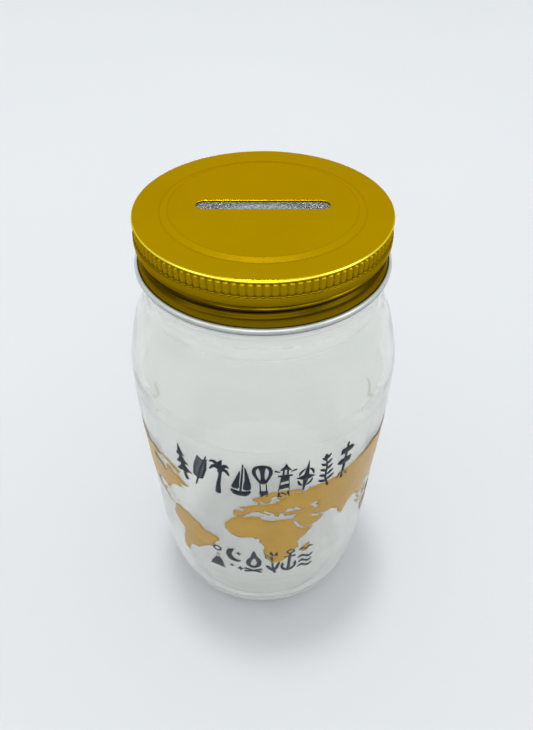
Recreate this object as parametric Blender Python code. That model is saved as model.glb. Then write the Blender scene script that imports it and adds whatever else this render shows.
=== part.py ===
"""Coin bank: a glass jar with a pressed screw lid that has a coin slot in its top.

Four pieces on one upright axis: glass_jar, lid_shell, lid_sealing_ring and wrap_label.
The jar stands on Z = 0 and the front of the wrap faces -Y. All sizes below are in millimetres.
"""

import math

import bpy

MM = 0.001

# Overall sizes
LID_TOP = 162.5
JAR_RADIUS = 43.15
LID_RADIUS = 36.5

# Fits
REST_GAP = 0.3
THREAD_PLAY = 0.45

# Lid sheet and skirt, as depths below LID_TOP
SHEET = 0.3
LID_HEIGHT = 16.35
SKIRT_RADIUS = LID_RADIUS - 0.45
KNURL_TOP = 1.2
KNURL_FOOT = 4.85
KNURL_DEPTH = 0.55
BEAD_FOOT = 8.1
FLARE_DEPTH = 13.3
FLARE_OUT = 0.35
CURL_WIDTH = 0.75
CURL_HEIGHT = 1.05

# Lid top
PANEL_RISE = 0.45
PANEL_RADIUS = 26.0
MOAT_RADIUS = 28.8
MOAT_DEPTH = 0.35
SLOT_LENGTH = 37.5
SLOT_WIDTH = 4.8
SLOT_LIP = 1.1

# Screw thread, one start, right hand
PITCH = 4.23
TURNS = 1.15
FADE = 0.08
GLASS_RIDGE_HALF = 0.272 * PITCH
LID_RIDGE_HALF = 0.33 * PITCH
RIDGE_SPACING = 0.272 * PITCH
THREAD_DEPTH = 1.2
LID_RIDGE_CLEAR = 0.7
LID_THREAD_MIDDLE = 10.6

# Jar
NECK_RADIUS = SKIRT_RADIUS - SHEET - THREAD_PLAY - THREAD_DEPTH
GLASS_WALL = 3.0
NECK_WALL = 3.5
RIM_ROUND = 1.3
NECK_BEAD_HEIGHT = 3.2
NECK_BEAD_OUT = 2.0
VALLEY_IN = 0.7
FLOOR_THICK = 7.0
FLOOR_CORNER = 6.0
PUSH_UP = 2.6
CONTACT_INNER = 0.64 * JAR_RADIUS

# Sealing ring
SEAL_THICK = 0.9
SEAL_OVERHANG = 0.9

# Wrap
FILM_THICK = 0.15
FILM_FOOT = 30.9
FILM_BELOW_SHOULDER = 2.1
FILM_SEAM = 1.5  # degrees, either side of the back

# Facets
LID_COLUMNS = 56
RIB_STEPS = 4
JAR_COLUMNS = 48
THREAD_STEP = 0.62

# Levels that follow from the sizes above
SEAL_TOP = LID_TOP - SHEET - REST_GAP
RIM_TOP = SEAL_TOP - SEAL_THICK - REST_GAP
NECK_BEAD_TOP = LID_TOP - LID_HEIGHT - REST_GAP
VALLEY_HEIGHT = NECK_BEAD_TOP - NECK_BEAD_HEIGHT - 0.6
SHOULDER_HEIGHT = 0.775 * VALLEY_HEIGHT
GLASS_THREAD_MIDDLE = LID_TOP - LID_THREAD_MIDDLE + RIDGE_SPACING
LID_RIDGE_DEPTH = SKIRT_RADIUS - SHEET - NECK_RADIUS - LID_RIDGE_CLEAR

# Outline of the body: share of SHOULDER_HEIGHT, share of JAR_RADIUS
BODY = (
    (0.000, 0.705),
    (0.005, 0.738),
    (0.030, 0.783),
    (0.076, 0.846),
    (0.138, 0.896),
    (0.224, 0.925),
    (0.345, 0.942),
    (0.517, 0.957),
    (0.690, 0.978),
    (0.862, 0.996),
    (1.000, 1.000),
)

# Outline of the shoulder: share of its height, share of the way out from the neck
SHOULDER = (
    (0.000, 1.000),
    (0.150, 0.965),
    (0.293, 0.880),
    (0.530, 0.680),
    (0.707, 0.424),
    (0.847, 0.215),
    (0.945, 0.065),
    (1.000, 0.000),
)


def body_outline():
    """(radius, height) points of the outer glass from the contact ring up to the neck."""
    neck = NECK_RADIUS - VALLEY_IN
    points = [(r * JAR_RADIUS, z * SHOULDER_HEIGHT) for z, r in BODY]
    rise = VALLEY_HEIGHT - SHOULDER_HEIGHT
    for z, r in SHOULDER[1:]:
        points.append((neck + r * (JAR_RADIUS - neck), SHOULDER_HEIGHT + z * rise))
    return points


def radius_at(height):
    """Outer radius of the body at a height."""
    points = body_outline()
    for (r0, z0), (r1, z1) in zip(points, points[1:]):
        if z0 <= height <= z1:
            return r0 + (r1 - r0) * (height - z0) / (z1 - z0)
    return points[-1][0]


def inner_wall():
    """(radius, height) points inside the body, one wall in from the outline, top to bottom."""
    outline = body_outline()
    inside = []
    for before, here, after in zip(outline, outline[1:], outline[2:]):
        dr = after[0] - before[0]
        dz = after[1] - before[1]
        size = math.hypot(dr, dz)
        point = (here[0] - GLASS_WALL * dz / size, here[1] + GLASS_WALL * dr / size)
        if point[1] > FLOOR_THICK + FLOOR_CORNER:
            inside.append(point)
    return inside[::-1]


def ridge(turn, height, middle, half, turns):
    """Share of full height of a right-hand helical ridge, 0 to 1, at a turn from the front."""
    best = 0.0
    for lap in (-1, 0, 1):
        along = turn + lap
        end = turns / 2 - abs(along)
        away = abs(height - middle - along * PITCH)
        if end > 0 and away < half:
            shape = 0.5 + 0.5 * math.cos(math.pi * away / half)
            best = max(best, shape * min(1.0, end / FADE))
    return best


def turn_of(angle):
    """Turns from the front, -0.5 to 0.5, rising toward +X."""
    return (angle / (2 * math.pi) + 0.25 + 0.5) % 1.0 - 0.5


def circle(radius, height, columns):
    return [
        (
            radius * math.cos(2 * math.pi * k / columns),
            radius * math.sin(2 * math.pi * k / columns),
            height,
        )
        for k in range(columns)
    ]


def threaded(radius, height, columns, middle, half, depth):
    """A ring whose radius grows by depth where the helical ridge crosses this height."""
    ring = []
    for k in range(columns):
        angle = 2 * math.pi * k / columns
        reach = radius + depth * ridge(turn_of(angle), height, middle, half, TURNS)
        ring.append((reach * math.cos(angle), reach * math.sin(angle), height))
    return ring


def stadium(offset, height, columns):
    """The slot outline grown by offset, with its points shared between ends and sides."""
    end_steps = columns // 11
    side_steps = columns // 2 - 2 * end_steps
    radius = SLOT_WIDTH / 2 + offset
    reach = (SLOT_LENGTH - SLOT_WIDTH) / 2
    quarter = [
        (
            reach + radius * math.cos(math.pi / 2 * k / end_steps),
            radius * math.sin(math.pi / 2 * k / end_steps),
        )
        for k in range(end_steps + 1)
    ]
    side = [(reach - 2 * reach * k / side_steps, radius) for k in range(1, side_steps)]
    left = [(-x, y) for x, y in quarter[::-1]]
    upper = quarter + side + left
    lower = [(-x, -y) for x, y in upper[1:-1]]
    return [(x, y, height) for x, y in upper + lower]


def ribbed(height, depth):
    """A fine ring of alternating rib crests and valleys."""
    columns = LID_COLUMNS * RIB_STEPS
    ring = []
    for k in range(columns):
        angle = 2 * math.pi * k / columns
        reach = SKIRT_RADIUS + depth * (k % 2 == 0)
        ring.append((reach * math.cos(angle), reach * math.sin(angle), height))
    return ring


def stitch(low, high):
    """Faces between two rings of vertex numbers, of which one may be a multiple of the other."""
    faces = []
    if len(low) == len(high):
        for k in range(len(low)):
            n = (k + 1) % len(low)
            faces.append((low[k], low[n], high[n], high[k]))
        return faces
    coarse, fine = (low, high) if len(low) < len(high) else (high, low)
    steps = len(fine) // len(coarse)
    for k in range(len(coarse)):
        here = coarse[k]
        after = coarse[(k + 1) % len(coarse)]
        run = [fine[(k * steps + s) % len(fine)] for s in range(steps + 1)]
        middle = steps // 2
        fans = [(here, run[s + 1], run[s]) for s in range(middle)]
        fans.append((here, after, run[middle]))
        fans += [(after, run[s + 1], run[s]) for s in range(middle, steps)]
        faces += fans if coarse is low else [face[::-1] for face in fans]
    return faces


def surface(rings, closed):
    """Vertices and faces of a stack of rings. A ring of one point is a pole."""
    vertices = []
    numbers = []
    for ring in rings:
        numbers.append(list(range(len(vertices), len(vertices) + len(ring))))
        vertices += ring
    pairs = list(zip(numbers, numbers[1:]))
    if closed:
        pairs.append((numbers[-1], numbers[0]))
    faces = []
    for low, high in pairs:
        if len(low) == 1:
            count = len(high)
            faces += [(low[0], high[(k + 1) % count], high[k]) for k in range(count)]
        elif len(high) == 1:
            count = len(low)
            faces += [(low[k], low[(k + 1) % count], high[0]) for k in range(count)]
        else:
            faces += stitch(low, high)
    return vertices, faces


def add_piece(name, vertices, faces, look):
    """One named body with its own material, shaded smooth across its rounded edges."""
    mesh = bpy.data.meshes.new(name)
    mesh.from_pydata([(x * MM, y * MM, z * MM) for x, y, z in vertices], [], faces)
    mesh.update()
    mesh.shade_smooth()
    mesh.set_sharp_from_angle(angle=math.radians(35))
    piece = bpy.data.objects.new(name, mesh)
    bpy.context.scene.collection.objects.link(piece)
    material = bpy.data.materials.new(name)
    material.use_nodes = True
    shader = material.node_tree.nodes["Principled BSDF"]
    for socket, value in look.items():
        shader.inputs[socket].default_value = value
    mesh.materials.append(material)
    return piece


def thread_levels(middle, half):
    """Heights of the rings that carry a thread, top to bottom."""
    reach = TURNS * PITCH / 2 + half
    count = math.ceil(2 * reach / THREAD_STEP)
    return [middle + reach - 2 * reach * k / count for k in range(count + 1)]


def make_jar():
    """The moulded glass: push-up base, tapered body, shoulder, neck bead, thread and rim."""
    rings = [[(0.0, 0.0, PUSH_UP)]]
    for share, rise in ((0.35, 0.97), (0.65, 0.8), (0.88, 0.4)):
        rings.append(circle(share * CONTACT_INNER, rise * PUSH_UP, JAR_COLUMNS))
    rings.append(circle(CONTACT_INNER, 0.0, JAR_COLUMNS))
    for radius, height in body_outline():
        rings.append(circle(radius, height, JAR_COLUMNS))
    middle = NECK_BEAD_TOP - NECK_BEAD_HEIGHT / 2
    for k in range(7):
        angle = math.pi * (k / 6 - 0.5)
        reach = NECK_RADIUS + NECK_BEAD_OUT * math.cos(angle)
        height = middle + NECK_BEAD_HEIGHT / 2 * math.sin(angle)
        rings.append(circle(reach, height, JAR_COLUMNS))
    levels = thread_levels(GLASS_THREAD_MIDDLE, GLASS_RIDGE_HALF)[::-1]
    for height in levels:
        rings.append(
            threaded(
                NECK_RADIUS,
                height,
                JAR_COLUMNS,
                GLASS_THREAD_MIDDLE,
                GLASS_RIDGE_HALF,
                THREAD_DEPTH,
            )
        )
    bore = NECK_RADIUS - NECK_WALL
    for edge, start, finish in ((NECK_RADIUS - RIM_ROUND, 0, 90), (bore + RIM_ROUND, 90, 180)):
        for k in range(3):
            angle = math.radians(start + (finish - start) * k / 2)
            reach = edge + RIM_ROUND * math.cos(angle)
            height = RIM_TOP - RIM_ROUND * (1 - math.sin(angle))
            rings.append(circle(reach, height, JAR_COLUMNS))
    rings.append(circle(bore, VALLEY_HEIGHT, JAR_COLUMNS))
    wall = inner_wall()
    for radius, height in wall:
        rings.append(circle(min(radius, JAR_RADIUS), height, JAR_COLUMNS))
    foot_radius, foot_height = wall[-1]
    for degrees in (30, 60, 90):
        angle = math.radians(degrees)
        reach = foot_radius - FLOOR_CORNER * (1 - math.cos(angle))
        height = foot_height - (foot_height - FLOOR_THICK) * math.sin(angle)
        rings.append(circle(reach, height, JAR_COLUMNS))
    rings.append([(0.0, 0.0, FLOOR_THICK)])
    vertices, faces = surface(rings, closed=False)
    glass = {
        "Base Color": (0.86, 0.90, 0.87, 1),
        "Roughness": 0.05,
        "Metallic": 0.0,
        "Transmission Weight": 0.9,
        "IOR": 1.5,
    }
    add_piece("glass_jar", vertices, faces, glass)


def lid_thread_rings(radius, levels):
    return [
        threaded(
            radius,
            height,
            LID_COLUMNS,
            LID_TOP - LID_THREAD_MIDDLE,
            LID_RIDGE_HALF,
            -LID_RIDGE_DEPTH,
        )
        for height in levels
    ]


def curl(half_width, half_height, degrees):
    """Rings round the open curl at the foot of the skirt."""
    middle_radius = SKIRT_RADIUS + FLARE_OUT - SHEET + CURL_WIDTH
    middle_height = LID_TOP - LID_HEIGHT + CURL_HEIGHT
    rings = []
    for step in degrees:
        angle = math.radians(step)
        reach = middle_radius + half_width * math.cos(angle)
        rings.append(
            circle(reach, middle_height + half_height * math.sin(angle), LID_COLUMNS)
        )
    return rings


def lid_row(radius, depth):
    return circle(radius, LID_TOP - depth, LID_COLUMNS)


def make_lid():
    """The pressed sheet lid, as one closed band from the slot edge over the skirt and back."""
    panel = LID_TOP + PANEL_RISE
    thread = thread_levels(LID_TOP - LID_THREAD_MIDDLE, LID_RIDGE_HALF)
    inner_skirt = SKIRT_RADIUS - SHEET
    flare = SKIRT_RADIUS + FLARE_OUT
    rings = [
        stadium(0.0, panel - SLOT_LIP, LID_COLUMNS),
        stadium(0.0, panel - 0.5, LID_COLUMNS),
        stadium(0.15, panel - 0.15, LID_COLUMNS),
        stadium(0.5, panel, LID_COLUMNS),
        circle(PANEL_RADIUS, panel, LID_COLUMNS),
        lid_row(PANEL_RADIUS + 1.1, MOAT_DEPTH),
        lid_row(MOAT_RADIUS - 0.7, MOAT_DEPTH),
        lid_row(MOAT_RADIUS, 0.0),
        lid_row(LID_RADIUS - 0.8, 0.0),
        lid_row(LID_RADIUS - 0.25, 0.12),
        lid_row(LID_RADIUS, 0.45),
        lid_row(SKIRT_RADIUS, 1.0),
        lid_row(SKIRT_RADIUS, KNURL_TOP),
        ribbed(LID_TOP - KNURL_TOP - 0.2, 0.0),
        ribbed(LID_TOP - KNURL_TOP - 0.7, KNURL_DEPTH),
        ribbed(LID_TOP - KNURL_FOOT, KNURL_DEPTH),
        lid_row(SKIRT_RADIUS + KNURL_DEPTH, KNURL_FOOT + 0.25),
        lid_row(SKIRT_RADIUS + KNURL_DEPTH + 0.15, KNURL_FOOT + 1.5),
        lid_row(SKIRT_RADIUS + KNURL_DEPTH - 0.1, BEAD_FOOT - 0.5),
    ]
    rings += lid_thread_rings(SKIRT_RADIUS, thread)
    rings.append(lid_row(flare, FLARE_DEPTH + 0.8))
    rings += curl(CURL_WIDTH - SHEET, CURL_HEIGHT - SHEET, (180, 240, 300, 360, 420, 480))
    rings += curl(CURL_WIDTH, CURL_HEIGHT, (480, 450, 405, 360, 315, 270, 225, 180))
    rings.append(lid_row(flare - SHEET, FLARE_DEPTH + 0.8))
    rings += lid_thread_rings(inner_skirt, thread[::-1])
    rings += [
        lid_row(inner_skirt + KNURL_DEPTH - 0.1, BEAD_FOOT - 0.5),
        lid_row(inner_skirt + KNURL_DEPTH + 0.15, KNURL_FOOT + 1.5),
        lid_row(inner_skirt, KNURL_FOOT + 0.25),
        lid_row(inner_skirt, 1.0),
        lid_row(LID_RADIUS - 0.35, 0.55),
        lid_row(LID_RADIUS - 0.9, SHEET),
        lid_row(MOAT_RADIUS + 0.1, SHEET),
        lid_row(MOAT_RADIUS - 0.6, MOAT_DEPTH + SHEET),
        lid_row(PANEL_RADIUS + 0.9, MOAT_DEPTH + SHEET),
        circle(PANEL_RADIUS - 0.1, panel - SHEET, LID_COLUMNS),
        stadium(0.65, panel - SHEET, LID_COLUMNS),
        stadium(SHEET, panel - 0.6, LID_COLUMNS),
        stadium(SHEET, panel - SLOT_LIP, LID_COLUMNS),
    ]
    vertices, faces = surface(rings, closed=True)
    faces = [face[::-1] for face in faces]
    gold = {"Base Color": (0.42, 0.26, 0.01, 1), "Roughness": 0.32, "Metallic": 1.0}
    add_piece("lid_shell", vertices, faces, gold)


def make_seal():
    """The flat sealing ring between the lid's flat annulus and the glass rim."""
    outer = NECK_RADIUS + SEAL_OVERHANG - REST_GAP
    inner = NECK_RADIUS - NECK_WALL - SEAL_OVERHANG
    foot = SEAL_TOP - SEAL_THICK
    round_off = 0.25
    outline = (
        (inner + round_off, foot),
        (outer - round_off, foot),
        (outer, foot + round_off),
        (outer, SEAL_TOP - round_off),
        (outer - round_off, SEAL_TOP),
        (inner + round_off, SEAL_TOP),
        (inner, SEAL_TOP - round_off),
        (inner, foot + round_off),
    )
    rings = [circle(radius, height, JAR_COLUMNS) for radius, height in outline]
    vertices, faces = surface(rings, closed=True)
    rubber = {"Base Color": (0.80, 0.80, 0.76, 1), "Roughness": 0.6, "Metallic": 0.0}
    add_piece("lid_sealing_ring", vertices, faces, rubber)


def make_wrap():
    """The clear film round the body, with its seam at the back."""
    low = FILM_FOOT
    high = SHOULDER_HEIGHT - FILM_BELOW_SHOULDER
    levels = [low]
    levels += [z for r, z in body_outline() if low + 2 < z < high - 2]
    levels.append(high)
    step = 360 / JAR_COLUMNS
    degrees = [90 + FILM_SEAM]
    degrees += [90 + step * k for k in range(1, JAR_COLUMNS)]
    degrees.append(450 - FILM_SEAM)
    vertices = []
    for extra in (REST_GAP, REST_GAP + FILM_THICK):
        for height in levels:
            reach = radius_at(height) + extra
            for degree in degrees:
                angle = math.radians(degree)
                vertices.append((reach * math.cos(angle), reach * math.sin(angle), height))
    across = len(degrees)
    outer = across * len(levels)
    faces = []
    for row in range(len(levels) - 1):
        for k in range(across - 1):
            a = row * across + k
            b = a + across
            faces.append((a, b, b + 1, a + 1))
            faces.append((outer + a, outer + a + 1, outer + b + 1, outer + b))
        first = row * across
        last = first + across - 1
        faces.append((first, outer + first, outer + first + across, first + across))
        faces.append((last, last + across, outer + last + across, outer + last))
    top = (len(levels) - 1) * across
    for k in range(across - 1):
        faces.append((k, k + 1, outer + k + 1, outer + k))
        faces.append((top + k, outer + top + k, outer + top + k + 1, top + k + 1))
    film = {
        "Base Color": (0.92, 0.93, 0.90, 1),
        "Roughness": 0.15,
        "Metallic": 0.0,
        "Alpha": 0.25,
    }
    add_piece("wrap_label", vertices, faces, film)


def clear_scene():
    for item in list(bpy.data.objects):
        bpy.data.objects.remove(item, do_unlink=True)


clear_scene()
make_jar()
make_lid()
make_seal()
make_wrap()
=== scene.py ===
"""Looks for the coin bank jar: fine glass, pressed gold lid, sealing ring, clear wrap and its print."""

import math
import random

import bpy
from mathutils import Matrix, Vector
from mathutils.geometry import delaunay_2d_cdt
from mathutils.noise import noise


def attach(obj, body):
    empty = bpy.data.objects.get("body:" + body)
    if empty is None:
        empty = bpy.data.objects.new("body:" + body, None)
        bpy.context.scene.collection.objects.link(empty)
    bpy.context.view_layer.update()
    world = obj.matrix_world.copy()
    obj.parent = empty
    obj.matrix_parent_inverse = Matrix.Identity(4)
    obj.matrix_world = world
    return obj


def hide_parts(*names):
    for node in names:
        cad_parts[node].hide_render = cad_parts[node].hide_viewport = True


MM = 0.001

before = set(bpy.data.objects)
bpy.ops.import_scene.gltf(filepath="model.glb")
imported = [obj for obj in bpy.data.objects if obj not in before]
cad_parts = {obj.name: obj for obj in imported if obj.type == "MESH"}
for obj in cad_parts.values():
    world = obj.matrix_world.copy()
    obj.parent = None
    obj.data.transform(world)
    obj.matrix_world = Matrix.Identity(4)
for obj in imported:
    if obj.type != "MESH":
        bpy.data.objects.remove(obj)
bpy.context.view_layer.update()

# Sizes in millimetres. These are the CAD model's, except that SLOT_LIP and FILM_THICK are
# smaller. CURL_MIDDLE, FILM_TOP, FILM_LIFT and the two INK sizes are set only here.
LID_TOP = 162.5
JAR_RADIUS = 43.15
LID_RADIUS = 36.5
SHEET = 0.3
SKIRT_RADIUS = 36.05
NECK_RADIUS = 34.1
NECK_WALL = 3.5
GLASS_WALL = 3.0
RIM_TOP = 160.7
RIM_ROUND = 1.3
NECK_BEAD_TOP = 145.85
NECK_BEAD_HEIGHT = 3.2
NECK_BEAD_OUT = 2.0
VALLEY_HEIGHT = 142.05
VALLEY_IN = 0.7
SHOULDER_HEIGHT = 0.775 * VALLEY_HEIGHT
FLOOR_THICK = 7.0
FLOOR_CORNER = 6.0
PUSH_UP = 2.6
CONTACT_INNER = 0.64 * JAR_RADIUS
PANEL_RISE = 0.45
PANEL_RADIUS = 26.0
MOAT_RADIUS = 28.8
MOAT_DEPTH = 0.35
SLOT_LENGTH = 37.5
SLOT_WIDTH = 4.8
SLOT_LIP = 0.6
PITCH = 4.23
TURNS = 1.15
FADE = 0.08
GLASS_RIDGE_HALF = 0.272 * PITCH
LID_RIDGE_HALF = 0.33 * PITCH
THREAD_DEPTH = 1.2
LID_RIDGE_DEPTH = 0.95
LID_THREAD_MIDDLE = 10.6
GLASS_THREAD_MIDDLE = LID_TOP - LID_THREAD_MIDDLE + 0.272 * PITCH
CURL_MIDDLE = (36.8, 15.3)
SEAL_TOP = 161.9
SEAL_THICK = 0.9
FILM_FOOT = 30.9
FILM_TOP = 108.0
FILM_LIFT = 0.08
FILM_THICK = 0.12
INK_LIFT = FILM_LIFT + FILM_THICK + 0.02
INK_THICK = 0.03

# Steps round and along the meshes, more than the CAD model has
JAR_COLUMNS = 192
SPLINE_STEPS = 6
BEND_STEPS = 6
HALF_ROUND_STEPS = 16
THREAD_STEPS = 48
CORNER_STEPS = 12
FILM_COLUMNS = 180
FILM_STEPS = 60

BODY = (
    (0.000, 0.705),
    (0.005, 0.738),
    (0.030, 0.783),
    (0.076, 0.846),
    (0.138, 0.896),
    (0.224, 0.925),
    (0.345, 0.942),
    (0.517, 0.957),
    (0.690, 0.978),
    (0.862, 0.996),
    (1.000, 1.000),
)
SHOULDER = (
    (0.150, 0.965),
    (0.293, 0.880),
    (0.530, 0.680),
    (0.707, 0.424),
    (0.847, 0.215),
    (0.945, 0.065),
    (1.000, 0.000),
)


# ---------------------------------------------------------------- outlines


def spline(points, steps):
    """A smooth curve through the points, with some steps between each two."""
    padded = [points[0], *points, points[-1]]
    curve = []
    for before, start, end, after in zip(padded, padded[1:], padded[2:], padded[3:]):
        for k in range(steps):
            t = k / steps
            weights = (
                -0.5 * t + t * t - 0.5 * t**3,
                1 - 2.5 * t * t + 1.5 * t**3,
                0.5 * t + 2 * t * t - 1.5 * t**3,
                -0.5 * t * t + 0.5 * t**3,
            )
            curve.append(
                tuple(
                    sum(w * p[axis] for w, p in zip(weights, (before, start, end, after)))
                    for axis in (0, 1)
                )
            )
    curve.append(points[-1])
    return curve


def rounded(corners):
    """A line through (a, b, radius) corners, each one rounded unless its radius is zero."""
    line = [corners[0][:2]]
    for before, here, after in zip(corners, corners[1:], corners[2:]):
        corner = Vector(here[:2])
        if here[2] == 0:
            line.append(tuple(corner))
            continue
        back = Vector(before[:2]) - corner
        ahead = Vector(after[:2]) - corner
        reach = min(here[2], 0.45 * back.length, 0.45 * ahead.length)
        start = corner + back.normalized() * reach
        end = corner + ahead.normalized() * reach
        for k in range(BEND_STEPS + 1):
            t = k / BEND_STEPS
            point = start * (1 - t) ** 2 + corner * 2 * t * (1 - t) + end * t * t
            line.append(tuple(point))
    line.append(corners[-1][:2])
    return line


def offset(line, distance):
    """The line moved sideways, to the left of its direction."""
    moved = []
    last = len(line) - 1
    for k, here in enumerate(line):
        before = line[max(k - 1, 0)]
        after = line[min(k + 1, last)]
        along = Vector((after[0] - before[0], after[1] - before[1])).normalized()
        moved.append((here[0] - along.y * distance, here[1] + along.x * distance))
    return moved


def body_outline():
    """The glass body's outside as (radius, height), from its foot to the neck."""
    neck = NECK_RADIUS - VALLEY_IN
    points = [(r * JAR_RADIUS, z * SHOULDER_HEIGHT) for z, r in BODY]
    rise = VALLEY_HEIGHT - SHOULDER_HEIGHT
    for z, r in SHOULDER:
        points.append((neck + r * (JAR_RADIUS - neck), SHOULDER_HEIGHT + z * rise))
    return spline(points, SPLINE_STEPS)


OUTLINE = body_outline()


def radius_at(height):
    """The glass body's outer radius at a height."""
    for (r0, z0), (r1, z1) in zip(OUTLINE, OUTLINE[1:]):
        if z0 <= height <= z1:
            return r0 + (r1 - r0) * (height - z0) / (z1 - z0)
    return OUTLINE[-1][0]


def ridge(angle, height, middle, half):
    """Share of full height of the right-hand helical ridge at a place, 0 to 1."""
    turn = (angle / (2 * math.pi) + 0.75) % 1.0 - 0.5
    best = 0.0
    for along in (turn - 1, turn, turn + 1):
        end = TURNS / 2 - abs(along)
        away = abs(height - middle - along * PITCH)
        if end > 0 and away < half:
            best = max(best, (0.5 + 0.5 * math.cos(math.pi * away / half)) * min(1, end / FADE))
    return best


# ---------------------------------------------------------------- meshes


def lattice(name, rows, closed_rows, closed_columns=True):
    """A mesh from rows of points in millimetres, all of one length. A row of one point is a pole."""
    vertices = []
    numbers = []
    for row in rows:
        numbers.append(range(len(vertices), len(vertices) + len(row)))
        vertices += [(x * MM, y * MM, z * MM) for x, y, z in row]
    pairs = list(zip(numbers, numbers[1:]))
    if closed_rows:
        pairs.append((numbers[-1], numbers[0]))
    faces = []
    for low, high in pairs:
        count = max(len(low), len(high))
        for k in range(count if closed_columns else count - 1):
            n = (k + 1) % count
            if len(low) == 1:
                faces.append((low[0], high[n], high[k]))
            elif len(high) == 1:
                faces.append((low[k], low[n], high[0]))
            else:
                faces.append((low[k], low[n], high[n], high[k]))
    mesh = bpy.data.meshes.new(name)
    mesh.from_pydata(vertices, [], faces)
    mesh.update()
    return mesh


def place(name, mesh, body, slot, *materials):
    piece = bpy.data.objects.new(name, mesh)
    bpy.context.scene.collection.objects.link(piece)
    for material in materials:
        mesh.materials.append(material)
    mesh.shade_smooth()
    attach(piece, body)
    return piece


def ring(radius, height, columns):
    """A circle row. The radius may be a function of the angle."""
    row = []
    for k in range(columns):
        angle = 2 * math.pi * k / columns
        reach = radius(angle) if callable(radius) else radius
        row.append((reach * math.cos(angle), reach * math.sin(angle), height))
    return row


# ---------------------------------------------------------------- materials


def material(name, **sockets):
    made = bpy.data.materials.new(name)
    made.use_nodes = True
    shader = made.node_tree.nodes["Principled BSDF"]
    for key, value in sockets.items():
        shader.inputs[key.replace("_", " ")].default_value = value
    return made, made.node_tree, shader


def node(tree, kind, **values):
    made = tree.nodes.new(kind)
    for key, value in values.items():
        if key in made.inputs:
            made.inputs[key].default_value = value
        else:
            setattr(made, key, value)
    return made


def textured(tree, scale, detail=3.0, stretch=(1, 1, 1)):
    """A noise pattern in the piece's own metres."""
    where = node(tree, "ShaderNodeTexCoord")
    mapping = node(tree, "ShaderNodeMapping", Scale=stretch)
    pattern = node(tree, "ShaderNodeTexNoise", Scale=scale, Detail=detail)
    tree.links.new(where.outputs["Object"], mapping.inputs["Vector"])
    tree.links.new(mapping.outputs["Vector"], pattern.inputs["Vector"])
    return pattern.outputs["Fac"]


def ranged(tree, source, low, high, start=0.3, end=0.7):
    made = node(tree, "ShaderNodeMapRange")
    for key, value in (("From Min", start), ("From Max", end), ("To Min", low), ("To Max", high)):
        made.inputs[key].default_value = value
    tree.links.new(source, made.inputs["Value"])
    return made.outputs["Result"]


def mixed(tree, share, first, second):
    """The first colour going over to the second by a share. The first may be a socket."""
    made = node(tree, "ShaderNodeMix", data_type="RGBA")
    colours = {socket.name: socket for socket in made.inputs if socket.type == "RGBA"}
    if isinstance(first, bpy.types.NodeSocket):
        tree.links.new(first, colours["A"])
    else:
        colours["A"].default_value = (*first, 1)
    colours["B"].default_value = (*second, 1)
    factor = [s for s in made.inputs if s.name == "Factor" and s.type == "VALUE"][0]
    tree.links.new(share, factor)
    return [s for s in made.outputs if s.type == "RGBA"][0]


def bumped(tree, shader, source, strength, distance):
    bump = node(tree, "ShaderNodeBump", Strength=strength, Distance=distance)
    tree.links.new(source, bump.inputs["Height"])
    tree.links.new(bump.outputs["Normal"], shader.inputs["Normal"])


# The glass: heights in millimetres, then shares
STIPPLE_HEIGHTS = (3, 12)
FROST_HEIGHTS = (135, 142)
STIPPLE_ROUGH = 0.2
FROST_SHARE = 0.35
CLEAR_SHARE = 0.77
CLEAR_GAIN = 0.04
GLASS_GREEN = (0.72, 0.90, 0.78, 1)
GLASS_DENSITY = 9.0


def glass_material():
    """Faintly green, slightly milky moulded glass with a stippled base and a frosted neck."""
    made, tree, shader = material("moulded_glass", Base_Color=(0.996, 1.0, 0.972, 1), IOR=1.45)
    height = distance_out(tree)[1]
    clear = ranged(tree, height, 0, 1, STIPPLE_HEIGHTS[0] * MM, STIPPLE_HEIGHTS[1] * MM)
    smudge = ranged(tree, textured(tree, 60, 4.0), 0.05, 0.09, 0.5, 0.75)
    smoothed = maths(tree, "MULTIPLY", clear, STIPPLE_ROUGH)
    stipple = maths(tree, "SUBTRACT", STIPPLE_ROUGH, smoothed)
    neck = ranged(tree, height, 0.0, FROST_SHARE, FROST_HEIGHTS[0] * MM, FROST_HEIGHTS[1] * MM)
    varied = maths(tree, "ADD", smudge, maths(tree, "ADD", stipple, neck))
    tree.links.new(varied, shader.inputs["Roughness"])
    whole = maths(tree, "ADD", maths(tree, "MULTIPLY", clear, CLEAR_GAIN), CLEAR_SHARE)
    whole = maths(tree, "SUBTRACT", whole, neck)
    tree.links.new(whole, shader.inputs["Transmission Weight"])
    bumped(tree, shader, textured(tree, 45, 1.5, (1, 1, 0.5)), 0.05, 0.0004)
    absorb = node(
        tree, "ShaderNodeVolumeAbsorption", Color=GLASS_GREEN, Density=GLASS_DENSITY
    )
    output = tree.nodes["Material Output"]
    tree.links.new(absorb.outputs["Volume"], output.inputs["Volume"])
    return made


def distance_out(tree):
    """How far a place is from the jar's axis, in metres, and its height."""
    where = node(tree, "ShaderNodeTexCoord")
    parts = node(tree, "ShaderNodeSeparateXYZ")
    flat = node(tree, "ShaderNodeVectorMath", operation="MULTIPLY")
    flat.inputs[1].default_value = (1, 1, 0)
    length = node(tree, "ShaderNodeVectorMath", operation="LENGTH")
    tree.links.new(where.outputs["Object"], parts.inputs["Vector"])
    tree.links.new(where.outputs["Object"], flat.inputs[0])
    tree.links.new(flat.outputs["Vector"], length.inputs[0])
    return length.outputs["Value"], parts.outputs["Z"]


def maths(tree, operation, first, second):
    made = node(tree, "ShaderNodeMath", operation=operation)
    for socket, value in zip(made.inputs, (first, second)):
        if isinstance(value, bpy.types.NodeSocket):
            tree.links.new(value, socket)
        else:
            socket.default_value = value
    return made.outputs["Value"]
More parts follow.
